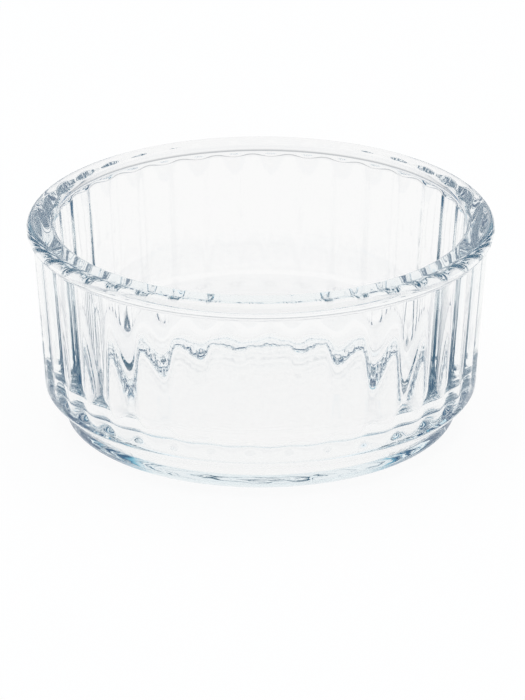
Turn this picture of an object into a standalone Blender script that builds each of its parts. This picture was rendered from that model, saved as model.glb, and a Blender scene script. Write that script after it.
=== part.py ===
"""A ribbed ramekin of clear glass, pressed in one piece: round rim bead, upright ribs, stepped-in foot."""

import math

import bmesh
import bpy

MM = 0.001

# Rim
RIM_DIAMETER = 100.0 * MM  # over the bead, the widest place
HEIGHT = 45.0 * MM  # from the table to the top of the rim
BEAD_DIAMETER = 4.0 * MM  # the bead is round in section
BEAD_OVERHANG = 1.25 * MM  # the bead stands out this far past the ribs
BEAD_FILLET = 1.0 * MM  # hollow between the ribs and the bead's underside
MOUTH_EDGE_RADIUS = 1.0 * MM  # rounding from the rim's top into the bowl

# Wall and floor
WALL_THICKNESS = 4.05 * MM  # at the mouth, measured in a valley between two ribs
WALL_DRAFT = math.radians(3.75)  # the outside leans in towards the foot
INSIDE_DRAFT = math.radians(3.55)  # the inside leans in towards the floor
INSIDE_CORNER_RADIUS = 13.5 * MM  # wide rounding between the inside wall and the floor
FLOOR_THICKNESS = 2.5 * MM  # glass at the middle, between the inside floor and the hollow of the foot

# Ribs
RIB_COUNT = 36
RIB_DEPTH = 0.62 * MM  # from a crest down to a valley
RIB_TURN = math.radians(2.25)  # first crest, turned from the front of the dish towards +X
VALLEY_ROUNDING = 0.4  # 0 is a sharp crease, 1 nearly a plain wave
RIB_GAP = 1.0 * MM  # plain strip between the heel's rounding and the rib ends
RIB_RUNOUT = 2.6 * MM  # height over which a valley comes up to the plain surface

# Heel and foot
HEEL_HEIGHT = 7.5 * MM  # where the wall, drawn straight down, meets the undercut
HEEL_RADIUS = 1.5 * MM
UNDERCUT_DROP = 4.0 * MM  # the undercut falls this far from the heel to the foot
UNDERCUT_FILLET = 0.6 * MM  # where the undercut meets the foot
FOOT_INSET = 4.0 * MM  # the top of the foot, inside the heel
FOOT_TAPER = 0.4 * MM  # the foot is narrower at the table
FOOT_EDGE_RADIUS = 1.8 * MM
FOOT_RING_WIDTH = 6.0 * MM  # flat ring that stands on the table
FOOT_HOLLOW_DEPTH = 1.1 * MM  # the underside is domed: its middle stays this far off the table

# Facets
RIB_FACETS = 6  # across one rib
PLAIN_FACETS = 2  # across one rib pitch where the surface is plain
ARC_STEPS = 4  # along a small rounding
CORNER_STEPS = 8  # along the wide inside corner
BEAD_STEPS = 10  # round the bead
RUNOUT_STEPS = 6  # along the end of a rib
DOME_STEPS = 4  # from the middle of the underside to the ring


def arc(centre, radius, start, end, steps):
    """Points on a circle in the section plane, from one angle to another."""
    points = []
    for step in range(steps + 1):
        angle = start + (end - start) * step / steps
        points.append((centre[0] + radius * math.cos(angle), centre[1] + radius * math.sin(angle)))
    return points


def rounded(before, corner, after, radius, steps):
    """Arc that rounds a corner of the section, no longer than the sides beside it allow."""
    side_in = (before[0] - corner[0], before[1] - corner[1])
    side_out = (after[0] - corner[0], after[1] - corner[1])
    length_in = math.hypot(*side_in)
    length_out = math.hypot(*side_out)
    angle_in = math.atan2(side_in[1], side_in[0])
    angle_out = math.atan2(side_out[1], side_out[0])
    opening = math.remainder(angle_out - angle_in, math.tau)
    half = abs(opening) / 2
    longest = 0.48 * min(length_in, length_out) * math.tan(half)
    radius = min(radius, longest)
    middle = angle_in + opening / 2
    reach = radius / math.sin(half)
    centre = (corner[0] + reach * math.cos(middle), corner[1] + reach * math.sin(middle))
    quarter = math.copysign(math.pi / 2, opening)
    start = angle_in - quarter
    sweep = math.remainder(angle_out + quarter - start, math.tau)
    return arc(centre, radius, start, start + sweep, steps)


def underside(ring_edge):
    """Shallow dome under the floor, a parabola from its middle out to the flat ring."""
    points = []
    for step in range(1, DOME_STEPS + 1):
        share = step / DOME_STEPS
        points.append((ring_edge[0] * share, FOOT_HOLLOW_DEPTH * (1 - share ** 2)))
    return points


def bead_section(wall_point):
    """Hollow under the bead and the bead itself, from the ribs up to the rim's top."""
    bead_radius = BEAD_DIAMETER / 2
    bead = (RIM_DIAMETER / 2 - bead_radius, HEIGHT - bead_radius)
    up = (math.sin(WALL_DRAFT), math.cos(WALL_DRAFT))
    out = (math.cos(WALL_DRAFT), -math.sin(WALL_DRAFT))
    # The hollow's centre lies one fillet off the wall and touches the bead from below.
    from_bead = (wall_point[0] + BEAD_FILLET * out[0] - bead[0], wall_point[1] + BEAD_FILLET * out[1] - bead[1])
    along = from_bead[0] * up[0] + from_bead[1] * up[1]
    across = from_bead[0] * out[0] + from_bead[1] * out[1]
    drop = -along - math.sqrt((bead_radius + BEAD_FILLET) ** 2 - across ** 2)
    centre = (bead[0] + from_bead[0] + drop * up[0], bead[1] + from_bead[1] + drop * up[1])
    meeting = math.atan2(centre[1] - bead[1], centre[0] - bead[0])
    hollow = arc(centre, BEAD_FILLET, math.pi - WALL_DRAFT, meeting + math.pi, ARC_STEPS)
    round_bead = arc(bead, bead_radius, meeting, math.pi / 2, BEAD_STEPS)
    return hollow, round_bead[1:]


def section():
    """Rings of the turned shape as radius, height and share of the rib depth, from under the foot to the floor."""
    under_bead = (RIM_DIAMETER / 2 - BEAD_OVERHANG, HEIGHT - BEAD_DIAMETER)
    heel_radius = under_bead[0] - (under_bead[1] - HEEL_HEIGHT) * math.tan(WALL_DRAFT)
    heel = (heel_radius, HEEL_HEIGHT)
    undercut = (heel_radius - FOOT_INSET, HEEL_HEIGHT - UNDERCUT_DROP)
    foot = (undercut[0] - FOOT_TAPER, 0.0)
    ring_edge = (foot[0] - FOOT_RING_WIDTH, 0.0)

    lower = underside(ring_edge)
    lower += rounded(ring_edge, foot, undercut, FOOT_EDGE_RADIUS, ARC_STEPS)
    lower += rounded(foot, undercut, heel, UNDERCUT_FILLET, ARC_STEPS)
    lower += rounded(undercut, heel, under_bead, HEEL_RADIUS, ARC_STEPS)
    rings = [(radius, height, 0.0) for radius, height in lower]

    heel_top = lower[-1]
    for step in range(RUNOUT_STEPS + 1):
        height = heel_top[1] + RIB_GAP + RIB_RUNOUT * step / RUNOUT_STEPS
        radius = heel_top[0] + (height - heel_top[1]) * math.tan(WALL_DRAFT)
        rings.append((radius, height, smooth_share(step / RUNOUT_STEPS)))

    hollow, bead = bead_section(under_bead)
    for step, (radius, height) in enumerate(hollow):
        rings.append((radius, height, smooth_share(1 - step / ARC_STEPS)))
    rings += [(radius, height, 0.0) for radius, height in bead]

    mouth = (under_bead[0] - RIB_DEPTH - WALL_THICKNESS, HEIGHT)
    floor_height = FOOT_HOLLOW_DEPTH + FLOOR_THICKNESS
    corner = (mouth[0] - (HEIGHT - floor_height) * math.tan(INSIDE_DRAFT), floor_height)
    inside = rounded(bead[-1], mouth, corner, MOUTH_EDGE_RADIUS, ARC_STEPS)
    inside += rounded(mouth, corner, (0.0, floor_height), INSIDE_CORNER_RADIUS, CORNER_STEPS)
    rings += [(radius, height, 0.0) for radius, height in inside]
    return rings


def smooth_share(part):
    """Eased step from 0 to 1."""
    return part * part * (3 - 2 * part)


def rib_form(across):
    """Across one rib, 0 on the crest and 1 in the valley: a cosine's size, its zero rounded off."""
    wave = math.hypot(math.cos(math.pi * across), VALLEY_ROUNDING)
    crest = math.hypot(1.0, VALLEY_ROUNDING)
    return (crest - wave) / (crest - VALLEY_ROUNDING)


def add_ring(bm, radius, height, share, facets):
    """Ring of points whose ribs are reeds: the crest is round and the valley is a narrow crease."""
    ring = []
    for index in range(RIB_COUNT * facets):
        reach = radius - RIB_DEPTH * share * rib_form(index / facets)
        turn = RIB_TURN + math.tau * index / (RIB_COUNT * facets)
        ring.append(bm.verts.new((reach * math.sin(turn), -reach * math.cos(turn), height)))
    return ring


def join_rings(bm, lower, upper):
    """Band of faces between two rings; the finer ring may have a whole number of points per point of the other."""
    coarse, fine = sorted((lower, upper), key=len)
    ratio = len(fine) // len(coarse)
    for index in range(len(coarse)):
        following = (index + 1) % len(coarse)
        edge = [fine[(index * ratio + step) % len(fine)] for step in range(ratio + 1)]
        bm.faces.new([coarse[following], coarse[index]] + edge)


def glass_bowl_mesh():
    bm = bmesh.new()
    rings = []
    for radius, height, share in section():
        facets = RIB_FACETS if share > 0 else PLAIN_FACETS
        rings.append(add_ring(bm, radius, height, share, facets))
    for lower, upper in zip(rings, rings[1:]):
        join_rings(bm, lower, upper)
    bm.faces.new(rings[0])
    bm.faces.new(rings[-1])
    bmesh.ops.recalc_face_normals(bm, faces=bm.faces)
    mesh = bpy.data.meshes.new("glass_bowl")
    bm.to_mesh(mesh)
    bm.free()
    mesh.shade_smooth()
    mesh.set_sharp_from_angle(angle=math.radians(35))
    return mesh


def clear_glass():
    material = bpy.data.materials.new("clear_glass")
    material.use_nodes = True
    shader = material.node_tree.nodes["Principled BSDF"]
    shader.inputs["Base Color"].default_value = (0.94, 0.98, 1.0, 1.0)
    shader.inputs["Roughness"].default_value = 0.02
    shader.inputs["Metallic"].default_value = 0.0
    shader.inputs["Transmission Weight"].default_value = 1.0
    shader.inputs["IOR"].default_value = 1.47
    return material


def main():
    for old in list(bpy.data.objects):
        bpy.data.objects.remove(old)
    mesh = glass_bowl_mesh()
    mesh.materials.append(clear_glass())
    bowl = bpy.data.objects.new("glass_bowl", mesh)
    bpy.context.scene.collection.objects.link(bowl)


main()
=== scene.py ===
import math

import bpy
import numpy as np
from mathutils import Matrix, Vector


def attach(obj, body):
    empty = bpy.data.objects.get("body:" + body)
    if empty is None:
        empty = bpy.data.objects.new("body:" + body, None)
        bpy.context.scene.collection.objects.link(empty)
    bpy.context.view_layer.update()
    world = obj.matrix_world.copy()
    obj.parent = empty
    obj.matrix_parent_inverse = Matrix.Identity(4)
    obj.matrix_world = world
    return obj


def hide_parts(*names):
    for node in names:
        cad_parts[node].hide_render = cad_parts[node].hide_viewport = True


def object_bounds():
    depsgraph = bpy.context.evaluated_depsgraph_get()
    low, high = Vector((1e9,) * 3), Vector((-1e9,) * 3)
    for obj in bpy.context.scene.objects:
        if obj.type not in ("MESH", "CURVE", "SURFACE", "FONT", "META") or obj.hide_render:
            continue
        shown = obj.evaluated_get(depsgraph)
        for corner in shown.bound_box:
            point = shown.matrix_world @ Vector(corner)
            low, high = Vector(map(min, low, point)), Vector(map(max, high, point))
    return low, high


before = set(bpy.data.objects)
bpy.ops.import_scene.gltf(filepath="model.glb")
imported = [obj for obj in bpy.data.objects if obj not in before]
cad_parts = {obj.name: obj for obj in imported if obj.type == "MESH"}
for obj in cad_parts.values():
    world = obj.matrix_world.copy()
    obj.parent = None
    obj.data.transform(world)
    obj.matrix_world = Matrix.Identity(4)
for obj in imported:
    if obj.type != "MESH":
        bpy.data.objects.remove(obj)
cadLow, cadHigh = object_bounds()
print("frame:", len(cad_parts), "node, height", round(cadHigh.z - cadLow.z, 4))

mm = 0.001

# the dish in millimetres and degrees; heights are above the table
dish = {
    "rimRadius": 50.0, "height": (cadHigh.z - cadLow.z) / mm,
    "beadRadius": 2.0, "beadOverhang": 1.25, "beadFillet": 1.0, "mouthEdge": 1.0,
    "wallThickness": 4.05, "wallDraft": 3.75, "insideDraft": 3.55, "insideCorner": 13.5, "floorTop": 3.6,
    "ribCount": 36, "ribDepth": 0.62, "ribTurn": 2.25, "valleyRounding": 0.4, "ribGap": 1.0, "ribRunout": 2.6,
    "heelHeight": 7.5, "heelRadius": 1.5, "undercutDrop": 4.0, "undercutFillet": 0.6,
    "footInset": 4.0, "footTaper": 0.4, "footEdge": 1.8, "ringWidth": 6.0, "hollowDepth": 1.1,
    # how fine the grid is: steps along each stretch of the section, columns across a rib
    "domeSteps": 12, "footSteps": 10, "undercutSteps": 6, "heelSteps": 12, "runoutSteps": 18,
    "hollowSteps": 8, "beadSteps": 22, "mouthSteps": 8, "cornerSteps": 24,
    "wallRings": 4, "insideRings": 3, "floorRings": 2,  # rings between two stretches
    "columnsPerRib": 18, "valleyCrowding": 0.45,
}


# points on a circle of the section, from one angle to another
def arcPoints(centre, radius, start, end, steps):
    turn = np.linspace(start, end, steps + 1)
    return np.stack([centre[0] + radius * np.cos(turn), centre[1] + radius * np.sin(turn)], axis=1)


# arc that touches both sides of a corner: its centre is on the line that halves the corner's opening, at the
# radius over the sine of half that opening
def roundedCorner(before, corner, after, radius, steps):
    angleIn = math.atan2(before[1] - corner[1], before[0] - corner[0])
    angleOut = math.atan2(after[1] - corner[1], after[0] - corner[0])
    opening = math.remainder(angleOut - angleIn, math.tau)
    middle = angleIn + opening / 2
    reach = radius / math.sin(abs(opening) / 2)
    centre = (corner[0] + reach * math.cos(middle), corner[1] + reach * math.sin(middle))
    quarter = math.copysign(math.pi / 2, opening)
    start = angleIn - quarter
    sweep = math.remainder(angleOut + quarter - start, math.tau)
    return arcPoints(centre, radius, start, start + sweep, steps)


# evenly spaced points between two ends, without the ends
def between(start, end, count):
    share = np.linspace(0, 1, count + 2)[1:-1, None]
    return np.asarray(start) * (1 - share) + np.asarray(end) * share


# eased step from 0 to 1: three times the square less twice the cube
def smoothShare(part):
    return part * part * (3 - 2 * part)


# the hollow under the bead touches the wall line and the bead; the bead is the rest of its own circle
def beadArcs(wallTop):
    bead, fillet, draft = dish["beadRadius"], dish["beadFillet"], math.radians(dish["wallDraft"])
    centre = np.array([dish["rimRadius"] - bead, dish["height"] - bead])
    up = np.array([math.sin(draft), math.cos(draft)])
    out = np.array([math.cos(draft), -math.sin(draft)])
    offset = wallTop + fillet * out - centre
    slide = -offset @ up - math.sqrt((bead + fillet) ** 2 - (offset @ out) ** 2)
    hollowCentre = centre + offset + slide * up
    meeting = math.atan2(*(hollowCentre - centre)[::-1])
    hollow = arcPoints(hollowCentre, fillet, math.pi - draft, meeting + math.pi, dish["hollowSteps"])
    return hollow, arcPoints(centre, bead, meeting, math.pi / 2, dish["beadSteps"])[1:]


# turned section from the middle of the underside, out and up the ribs, over the rim and down to the middle of the
# floor: columns are radius, height and share of the rib depth
def dishSection():
    d = dish
    lean = math.tan(math.radians(d["wallDraft"]))
    wallTop = np.array([d["rimRadius"] - d["beadOverhang"], d["height"] - 2 * d["beadRadius"]])
    heel = (wallTop[0] - (wallTop[1] - d["heelHeight"]) * lean, d["heelHeight"])
    undercut = (heel[0] - d["footInset"], d["heelHeight"] - d["undercutDrop"])
    foot = (undercut[0] - d["footTaper"], 0.0)
    ringEdge = foot[0] - d["ringWidth"]

    # the underside's dome is a parabola that ends on the flat ring
    domeShare = np.linspace(0, 1, d["domeSteps"] + 1)
    dome = np.stack([ringEdge * domeShare, d["hollowDepth"] * (1 - domeShare ** 2)], axis=1)
    heelArc = roundedCorner(undercut, heel, wallTop, d["heelRadius"], d["heelSteps"])
    stretches = [
        (dome, 0.0),
        (roundedCorner(dome[-1], foot, undercut, d["footEdge"], d["footSteps"]), 0.0),
        (roundedCorner(foot, undercut, heel, d["undercutFillet"], d["undercutSteps"]), 0.0),
        (heelArc, 0.0),
    ]

    # the ribs come up from the plain wall over the run-out and fade again in the hollow under the bead
    part = np.linspace(0, 1, d["runoutSteps"] + 1)
    runoutHeight = heelArc[-1][1] + d["ribGap"] + d["ribRunout"] * part
    runoutRadius = heelArc[-1][0] + (runoutHeight - heelArc[-1][1]) * lean
    runout = np.stack([runoutRadius, runoutHeight], axis=1)
    hollow, bead = beadArcs(wallTop)
    stretches += [
        (runout, smoothShare(part)),
        (between(runout[-1], hollow[0], d["wallRings"]), 1.0),
        (hollow, smoothShare(np.linspace(1, 0, len(hollow)))),
        (bead, 0.0),
    ]

    mouth = (wallTop[0] - d["ribDepth"] - d["wallThickness"], d["height"])
    floorDrop = d["height"] - d["floorTop"]
    corner = (mouth[0] - floorDrop * math.tan(math.radians(d["insideDraft"])), d["floorTop"])
    floorMiddle = (0.0, d["floorTop"])
    mouthArc = roundedCorner(bead[-1], mouth, corner, d["mouthEdge"], d["mouthSteps"])
    cornerArc = roundedCorner(mouth, corner, floorMiddle, d["insideCorner"], d["cornerSteps"])
    stretches += [
        (mouthArc, 0.0),
        (between(mouthArc[-1], cornerArc[0], d["insideRings"]), 0.0),
        (cornerArc, 0.0),
        (between(cornerArc[-1], floorMiddle, d["floorRings"]), 0.0),
        (np.array([floorMiddle]), 0.0),
    ]

    points = np.concatenate([line for line, _ in stretches])
    share = np.concatenate([np.broadcast_to(depth, len(line)) for line, depth in stretches])
    return points[:, 0], points[:, 1], share


# across a rib, 0 on the crest and 1 in the valley: one minus the size of a cosine, its zero rounded off
def ribForm(across):
    e = dish["valleyRounding"]
    wave = np.abs(np.cos(math.pi * across))
    return 1 - (np.sqrt(wave ** 2 + e * e) - e) / (math.sqrt(1 + e * e) - e)


# every column of the grid is one turn about Z, from the front towards +X; columns crowd in the valleys, where a
# sine pulls them together
def dishColumns():
    steps = np.arange(dish["ribCount"] * dish["columnsPerRib"]) / dish["columnsPerRib"]
    crowded = steps + dish["valleyCrowding"] * np.sin(math.tau * steps) / math.tau
    turn = math.radians(dish["ribTurn"]) + math.tau * crowded / dish["ribCount"]
    return turn, ribForm(crowded)


# closed turned surface: rings times columns, the radius less the rib's depth times its form, with a fan of
# triangles at each pole
def makeDish(name, material):
    radius, height, share = dishSection()
    turn, form = dishColumns()
    reach = radius[1:-1, None] - dish["ribDepth"] * share[1:-1, None] * form[None, :]
    rings, columns = reach.shape
    level = np.repeat(height[1:-1, None], columns, 1)
    grid = np.stack([reach * np.sin(turn), -reach * np.cos(turn), level], axis=2)
    poles = [[0.0, 0.0, height[0]], [0.0, 0.0, height[-1]]]
    points = np.concatenate([grid.reshape(-1, 3), poles]) * mm

    column = np.arange(columns)
    beside = (column + 1) % columns
    row = np.arange(rings - 1)[:, None] * columns
    quads = np.stack([row + column, row + beside, row + columns + beside, row + columns + column], axis=2)
    below = np.full(columns, rings * columns)
    topRow = (rings - 1) * columns
    bottomFan = np.stack([beside, column, below], axis=1)
    topFan = np.stack([topRow + column, topRow + beside, below + 1], axis=1)

    mesh = bpy.data.meshes.new(name)
    mesh.from_pydata(points, [], quads.reshape(-1, 4).tolist() + bottomFan.tolist() + topFan.tolist())
    mesh.shade_smooth()
    mesh.materials.append(material)
    piece = bpy.data.objects.new(name, mesh)
    bpy.context.scene.collection.objects.link(piece)
    print(name, "surface:", rings, "rings of", columns, "columns")
    return piece


def link(tree, start, end):
    tree.links.new(start, end)


# a socket is linked, a plain value is set
def feed(tree, value, socket):
    if isinstance(value, bpy.types.NodeSocket):
        link(tree, value, socket)
    else:
        socket.default_value = value


def mathNode(tree, operation, *values):
    node = tree.nodes.new("ShaderNodeMath")
    node.operation = operation
    for value, socket in zip(values, node.inputs):
        feed(tree, value, socket)
    return node.outputs[0]


# share from 0 to 1 between two values of a socket, eased or straight
def stepNode(tree, value, low, high, kind="SMOOTHSTEP"):
    node = tree.nodes.new("ShaderNodeMapRange")
    node.interpolation_type = kind
    link(tree, value, node.inputs["Value"])
    node.inputs["From Min"].default_value = low
    node.inputs["From Max"].default_value = high
    return node.outputs["Result"]


def opaque(colour):
    return (*colour, 1.0)


# first colour at share 0, second at share 1; the Mix node's colour sockets are inputs 6 and 7 and output 2
def mixNode(tree, share, first, second):
    node = tree.nodes.new("ShaderNodeMix")
    node.data_type = "RGBA"
    link(tree, share, node.inputs["Factor"])
    for value, socket in ((first, node.inputs[6]), (second, node.inputs[7])):
        feed(tree, value if isinstance(value, bpy.types.NodeSocket) else opaque(value), socket)
    return node.outputs[2]


def splitNode(tree, place):
    node = tree.nodes.new("ShaderNodeSeparateXYZ")
    link(tree, place, node.inputs[0])
    return node.outputs


glassFinish = {
    "ior": 1.474, "tint": (0.6, 0.82, 0.9), "tintDensity": 3.0,
    "smudgeScale": 45.0, "smudgeDetail": 3.0, "roughness": (0.0, 0.012),
    "rippleScale": 160.0, "rippleDetail": 1.0, "rippleDepth": 0.00002, "rippleStrength": 0.6,
    "noiseRange": (0.35, 0.65),  # most of a noise lies between these
    # painted glow: what light becomes that is still in the glass after its longest path, counted in bounces
    "longestPath": 13, "paintedWallGlow": (0.008, 0.09, 0.155),
    "paintedFootGlow": (0.88, 0.92, 0.95), "footTop": (3.8, 5.0),  # millimetres over which the foot's painted pale glow ends
}


# noise in the piece's own space, spread between two values
def noiseNode(tree, place, scale, detail, low, high):
    noise = tree.nodes.new("ShaderNodeTexNoise")
    noise.inputs["Scale"].default_value = scale
    noise.inputs["Detail"].default_value = detail
    link(tree, place, noise.inputs["Vector"])
    spread = tree.nodes.new("ShaderNodeMapRange")
    link(tree, noise.outputs["Fac"], spread.inputs["Value"])
    ends = zip(("From Min", "From Max", "To Min", "To Max"), (*glassFinish["noiseRange"], low, high))
    for socket, value in ends:
        spread.inputs[socket].default_value = value
    return spread.outputs["Result"]


# clear pressed glass: blue where the light runs a long way through it. Painted glow: deep blue where light stays
# trapped in the wall and pale where it stays trapped in the foot, which stands on white
def clearGlass():
    material = bpy.data.materials.new("clearGlass")
    material.use_nodes = True
    tree = material.node_tree
    shader = tree.nodes["Principled BSDF"]
    shader.inputs["Base Color"].default_value = opaque((1.0, 1.0, 1.0))
    shader.inputs["Metallic"].default_value = 0.0
    shader.inputs["IOR"].default_value = glassFinish["ior"]
    shader.inputs["Transmission Weight"].default_value = 1.0

    # smudges change the roughness, and a faint ripple of the pressing moves the normal
    coords = tree.nodes.new("ShaderNodeTexCoord").outputs["Object"]
    clean, smudged = glassFinish["roughness"]
    smudge = noiseNode(tree, coords, glassFinish["smudgeScale"], glassFinish["smudgeDetail"], clean, smudged)
    link(tree, smudge, shader.inputs["Roughness"])
    ripple = noiseNode(tree, coords, glassFinish["rippleScale"], glassFinish["rippleDetail"], 0.0, 1.0)
    bump = tree.nodes.new("ShaderNodeBump")
    bump.inputs["Strength"].default_value = glassFinish["rippleStrength"]
    bump.inputs["Distance"].default_value = glassFinish["rippleDepth"]
    link(tree, ripple, bump.inputs["Height"])
    link(tree, bump.outputs["Normal"], shader.inputs["Normal"])

    # ray depth counts whole bounces, so half a bounce more than the longest path parts the trapped light, which
    # gets a painted glow
    depth = tree.nodes.new("ShaderNodeLightPath").outputs["Ray Depth"]
    trapped = mathNode(tree, "GREATER_THAN", depth, glassFinish["longestPath"] + 0.5)
    low, high = glassFinish["footTop"]
    aboveFoot = stepNode(tree, splitNode(tree, coords)["Z"], low * mm, high * mm)
    # painted glow: pale in the foot, deep blue in the wall above it
    paintedGlow = mixNode(tree, aboveFoot, glassFinish["paintedFootGlow"], glassFinish["paintedWallGlow"])
    black = (0.0, 0.0, 0.0)
    shader.inputs["Emission Color"].default_value = opaque(black)
    link(tree, mixNode(tree, trapped, black, paintedGlow), shader.inputs["Emission Color"])
    shader.inputs["Emission Strength"].default_value = 1.0
    material.cycles.emission_sampling = "NONE"

    body = tree.nodes.new("ShaderNodeVolumeAbsorption")
    body.inputs["Color"].default_value = opaque(glassFinish["tint"])
    body.inputs["Density"].default_value = glassFinish["tintDensity"]
    link(tree, body.outputs["Volume"], tree.nodes["Material Output"].inputs["Volume"])
    return material


room = {
    "white": (0.93, 0.93, 0.93),
    "backdropEdge": 29.0, "backdropSoft": 8.0,  # degrees to either side of straight behind
    "roomTop": 37.0, "roomSoft": 3.0,  # degrees above the table
    "frontRise": 16.0, "riseFrom": 60.0, "riseTo": 150.0,  # the room rises towards the front, over these degrees
    "paleBlue": (0.17, 0.48, 0.62), "palePlace": 0.3,  # where each blue lies on the way from white into the room
    "steelBlue": (0.018, 0.17, 0.31), "steelPlace": 0.6,
    "deepBlue": (0.003, 0.07, 0.165),
}


# white overhead and white backdrop behind the dish; a dim blue room to the sides and in front, which gives the
# glass its dark edges. The camera itself sees plain white.
def makeRoom():
    world = bpy.data.worlds.new("studioRoom")
    bpy.context.scene.world = world
    world.use_nodes = True
    tree = world.node_tree
    direction = splitNode(tree, tree.nodes.new("ShaderNodeTexCoord").outputs["Generated"])
    height = mathNode(tree, "DEGREES", mathNode(tree, "ARCSINE", direction["Z"]))
    aside = mathNode(tree, "ABSOLUTE", direction["X"])
    around = mathNode(tree, "DEGREES", mathNode(tree, "ARCTAN2", aside, direction["Y"]))
    inFront = stepNode(tree, around, room["riseFrom"], room["riseTo"], "LINEAR")
    lowered = mathNode(tree, "SUBTRACT", height, mathNode(tree, "MULTIPLY", inFront, room["frontRise"]))
    top, soft = room["roomTop"], room["roomSoft"]
    below = stepNode(tree, lowered, top + soft, top - soft)
    edge, soft = room["backdropEdge"], room["backdropSoft"]
    beside = stepNode(tree, around, edge - soft, edge + soft)

    ramp = tree.nodes.new("ShaderNodeValToRGB")
    link(tree, mathNode(tree, "MULTIPLY", below, beside), ramp.inputs["Fac"])
    stops = ramp.color_ramp.elements
    stops[0].color = opaque(room["white"])
    stops[1].color = opaque(room["deepBlue"])
    stops.new(room["palePlace"]).color = opaque(room["paleBlue"])
    stops.new(room["steelPlace"]).color = opaque(room["steelBlue"])
    seen = tree.nodes.new("ShaderNodeLightPath").outputs["Is Camera Ray"]
    colour = mixNode(tree, seen, ramp.outputs["Color"], (1.0, 1.0, 1.0))
    link(tree, colour, tree.nodes["Background"].inputs["Color"])


# metres; the paper lies under the dish, to either side of it, up to its front edge and back without end
ground = {
    "size": 6.0, "gap": 0.0002, "colour": (0.92, 0.92, 0.92), "roughness": 0.9, "glow": 0.94,
    "paperHalfWidth": 0.265, "paperFront": 0.30, "paperSoft": 0.03, "paperColour": (0.965, 0.96, 0.955),
    "farPaintedShade": (0.55, 0.56, 0.57), "farFrom": 0.2, "farTo": 0.5,  # painted shade: the paper seen in the glass darkens behind the dish
    "tableColour": (0.009, 0.15, 0.31),
}


# floor that is white to the camera and still takes the dish's soft shadow. The glass sees a strip of white paper
# that darkens behind the dish with painted shade, and the dim table off the paper.
def makeFloor():
    half = ground["size"] / 2
    corners = np.array([[-half, -half], [half, -half], [half, half], [-half, half]])
    points = np.column_stack([corners, np.full(len(corners), -ground["gap"])])
    mesh = bpy.data.meshes.new("paleFloor")
    mesh.from_pydata(points, [], [(0, 1, 2, 3)])
    floor = bpy.data.objects.new("paleFloor", mesh)
    bpy.context.scene.collection.objects.link(floor)
    material = bpy.data.materials.new("paleFloor")
    material.use_nodes = True
    tree = material.node_tree
    shader = tree.nodes["Principled BSDF"]
    shader.inputs["Base Color"].default_value = opaque(ground["colour"])
    shader.inputs["Roughness"].default_value = ground["roughness"]
    shader.inputs["Specular IOR Level"].default_value = 0.0
    path = tree.nodes.new("ShaderNodeLightPath").outputs
    inGlass = mathNode(tree, "MAXIMUM", path["Is Glossy Ray"], path["Is Transmission Ray"])
    seen = mathNode(tree, "MAXIMUM", path["Is Camera Ray"], inGlass)

    place = splitNode(tree, tree.nodes.new("ShaderNodeTexCoord").outputs["Object"])
    aside = mathNode(tree, "ABSOLUTE", place["X"])
    ahead = mathNode(tree, "MULTIPLY", place["Y"], -1.0)
    edge, front, soft = ground["paperHalfWidth"], ground["paperFront"], ground["paperSoft"]
    beyondSide = stepNode(tree, aside, edge - soft, edge + soft)
    beyondFront = stepNode(tree, ahead, front - soft, front + soft)
    offPaper = mathNode(tree, "MULTIPLY", inGlass, mathNode(tree, "MAXIMUM", beyondSide, beyondFront))
    # painted shade: the paper seen in the glass darkens behind the dish, where its light falls off
    far = stepNode(tree, place["Y"], ground["farFrom"], ground["farTo"])
    paperWithPaintedShade = mixNode(tree, far, ground["paperColour"], ground["farPaintedShade"])
    paper = mixNode(tree, inGlass, (1.0, 1.0, 1.0), paperWithPaintedShade)

    glow = tree.nodes.new("ShaderNodeEmission")
    link(tree, mixNode(tree, offPaper, paper, ground["tableColour"]), glow.inputs["Color"])
    share = mathNode(tree, "MAXIMUM", mathNode(tree, "MULTIPLY", seen, ground["glow"]), offPaper)
    mix = tree.nodes.new("ShaderNodeMixShader")
    link(tree, share, mix.inputs["Fac"])
    link(tree, shader.outputs[0], mix.inputs[1])
    link(tree, glow.outputs[0], mix.inputs[2])
    link(tree, mix.outputs[0], tree.nodes["Material Output"].inputs["Surface"])
    mesh.materials.append(material)


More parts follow.
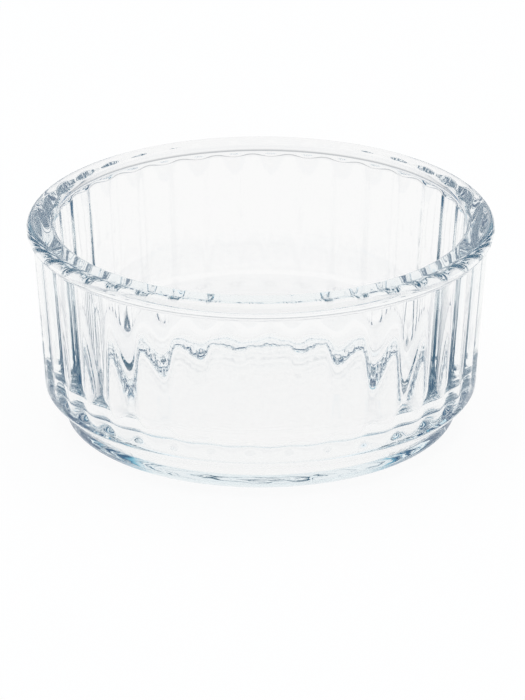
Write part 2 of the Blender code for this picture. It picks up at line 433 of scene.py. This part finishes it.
lamp = {"width": 1.6, "height": 1.6, "power": 16.0}  # metres and watts


# soft overhead lamp for the floor; the glass shows the white overhead instead of the lamp
def makeLamp():
    data = bpy.data.lights.new("softbox", "AREA")
    data.size = lamp["width"]
    data.energy = lamp["power"]
    box = bpy.data.objects.new("softbox", data)
    box.location.z = lamp["height"]
    box.visible_glossy = False
    box.visible_transmission = False
    bpy.context.scene.collection.objects.link(box)


# pixels of the photograph's frame, metres, degrees, and millimetres for the aim and the sensor
view = {
    "frameWidth": 525, "frameHeight": 700, "middleX": 260.7, "middleY": 312.5, "focalPixels": 4643.0,
    "distance": 1.0, "elevation": 22.6, "aimHeight": 22.6, "sensor": 36.0,
}


# the aim point falls on pixel middleX, middleY of the photograph's frame
def makeCamera():
    elevation = math.radians(view["elevation"])
    aim = Vector((0.0, 0.0, view["aimHeight"] * mm))
    back = Vector((0.0, -math.cos(elevation), math.sin(elevation)))
    right = Vector((1.0, 0.0, 0.0))
    up = right.cross(-back)
    data = bpy.data.cameras.new("photoView")
    data.sensor_width = view["sensor"]
    data.lens = view["focalPixels"] / view["frameHeight"] * view["sensor"]
    data.dof.use_dof = False
    camera = bpy.data.objects.new("photoView", data)
    camera.location = aim + back * view["distance"]
    aside = right * (view["frameWidth"] / 2 - view["middleX"])
    upward = up * (view["frameHeight"] / 2 - view["middleY"])
    look = -back * view["focalPixels"] + aside - upward
    camera.rotation_mode = "QUATERNION"
    camera.rotation_quaternion = look.to_track_quat("-Z", "Y")
    bpy.context.scene.collection.objects.link(camera)
    bpy.context.scene.camera = camera


scene = bpy.context.scene
scene.view_settings.view_transform = "Standard"
scene.cycles.max_bounces = glassFinish["longestPath"]
scene.cycles.transmission_bounces = glassFinish["longestPath"]
scene.cycles.glossy_bounces = glassFinish["longestPath"]

glassBowl = makeDish("glassBowl", clearGlass())
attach(glassBowl, "root")
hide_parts("glass_bowl")
makeRoom()
makeFloor()
makeLamp()
makeCamera()
print("studio, floor, lamp and camera placed")
